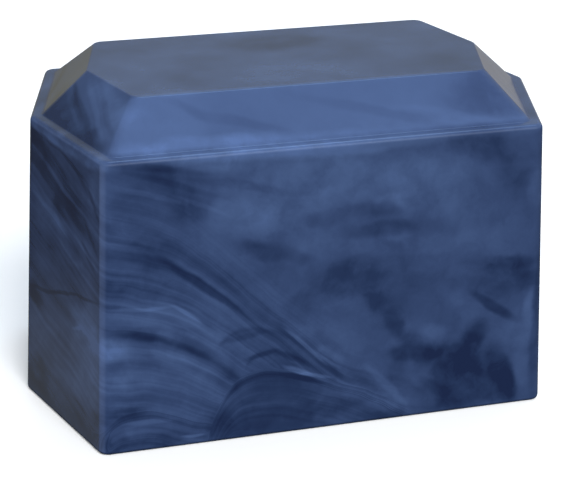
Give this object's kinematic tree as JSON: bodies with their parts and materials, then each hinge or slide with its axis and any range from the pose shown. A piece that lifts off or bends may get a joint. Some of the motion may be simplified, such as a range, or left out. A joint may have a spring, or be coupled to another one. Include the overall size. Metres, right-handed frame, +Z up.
{
  "type": "funeral urn",
  "caption": "Long six-sided funeral urn of marbled resin with drafted walls, a ledge and a bevelled top, hollow, filled through a stoppered hole in its base.",
  "frame": {"origin": "middle of the underside, on the surface that the urn stands on", "axes": "+Z up, +X along the width from end ridge to end ridge, +Y from the front to the back"},
  "size_m": [0.2634, 0.1568, 0.163],
  "materials": {
    "marbled_resin": "navy blue marbled casting resin under a polished, glossy gel coat",
    "stopper_plastic": "black moulded plastic, satin"
  },
  "bodies": {
    "root": {"urn_body": "marbled_resin", "base_stopper": "stopper_plastic"}
  },
  "joints": []
}
